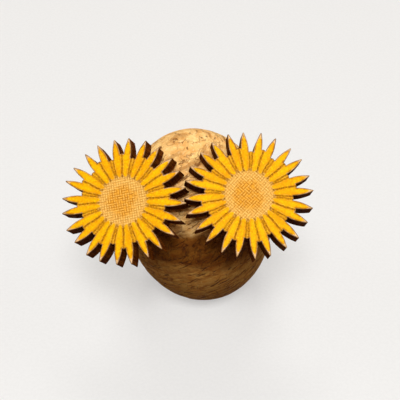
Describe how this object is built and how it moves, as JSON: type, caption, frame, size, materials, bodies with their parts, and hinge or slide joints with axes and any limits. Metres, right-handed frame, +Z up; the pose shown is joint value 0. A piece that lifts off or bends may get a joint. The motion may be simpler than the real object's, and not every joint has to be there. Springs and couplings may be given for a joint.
{
  "type": "sunflower stud earrings on cork stand",
  "caption": "Two laser-cut wooden sunflower stud earrings with engraved centres and steel posts, pinned side by side in a rounded cork that stands on a flat base.",
  "frame": {"origin": "centre of the flat that the cork stands on", "axes": "+Z up from the surface it stands on; the flowers face -Y and up; +X from the left flower to the right flower as seen from the front"},
  "size_m": [0.039, 0.0311, 0.0339],
  "materials": {
    "cork": "bare natural cork, sanded round, speckled with dark pores",
    "painted_wood": "golden yellow paint on laser-cut wood, bare engraved centre, charred edges",
    "clear_adhesive": "clear cured epoxy",
    "stud_steel": "bright stainless steel wire and pad"
  },
  "bodies": {
    "root": {"cork_stand": "cork", "left_flower": "painted_wood", "right_flower": "painted_wood", "left_adhesive": "clear_adhesive", "right_adhesive": "clear_adhesive", "left_stud": "stud_steel", "right_stud": "stud_steel"}
  },
  "joints": []
}
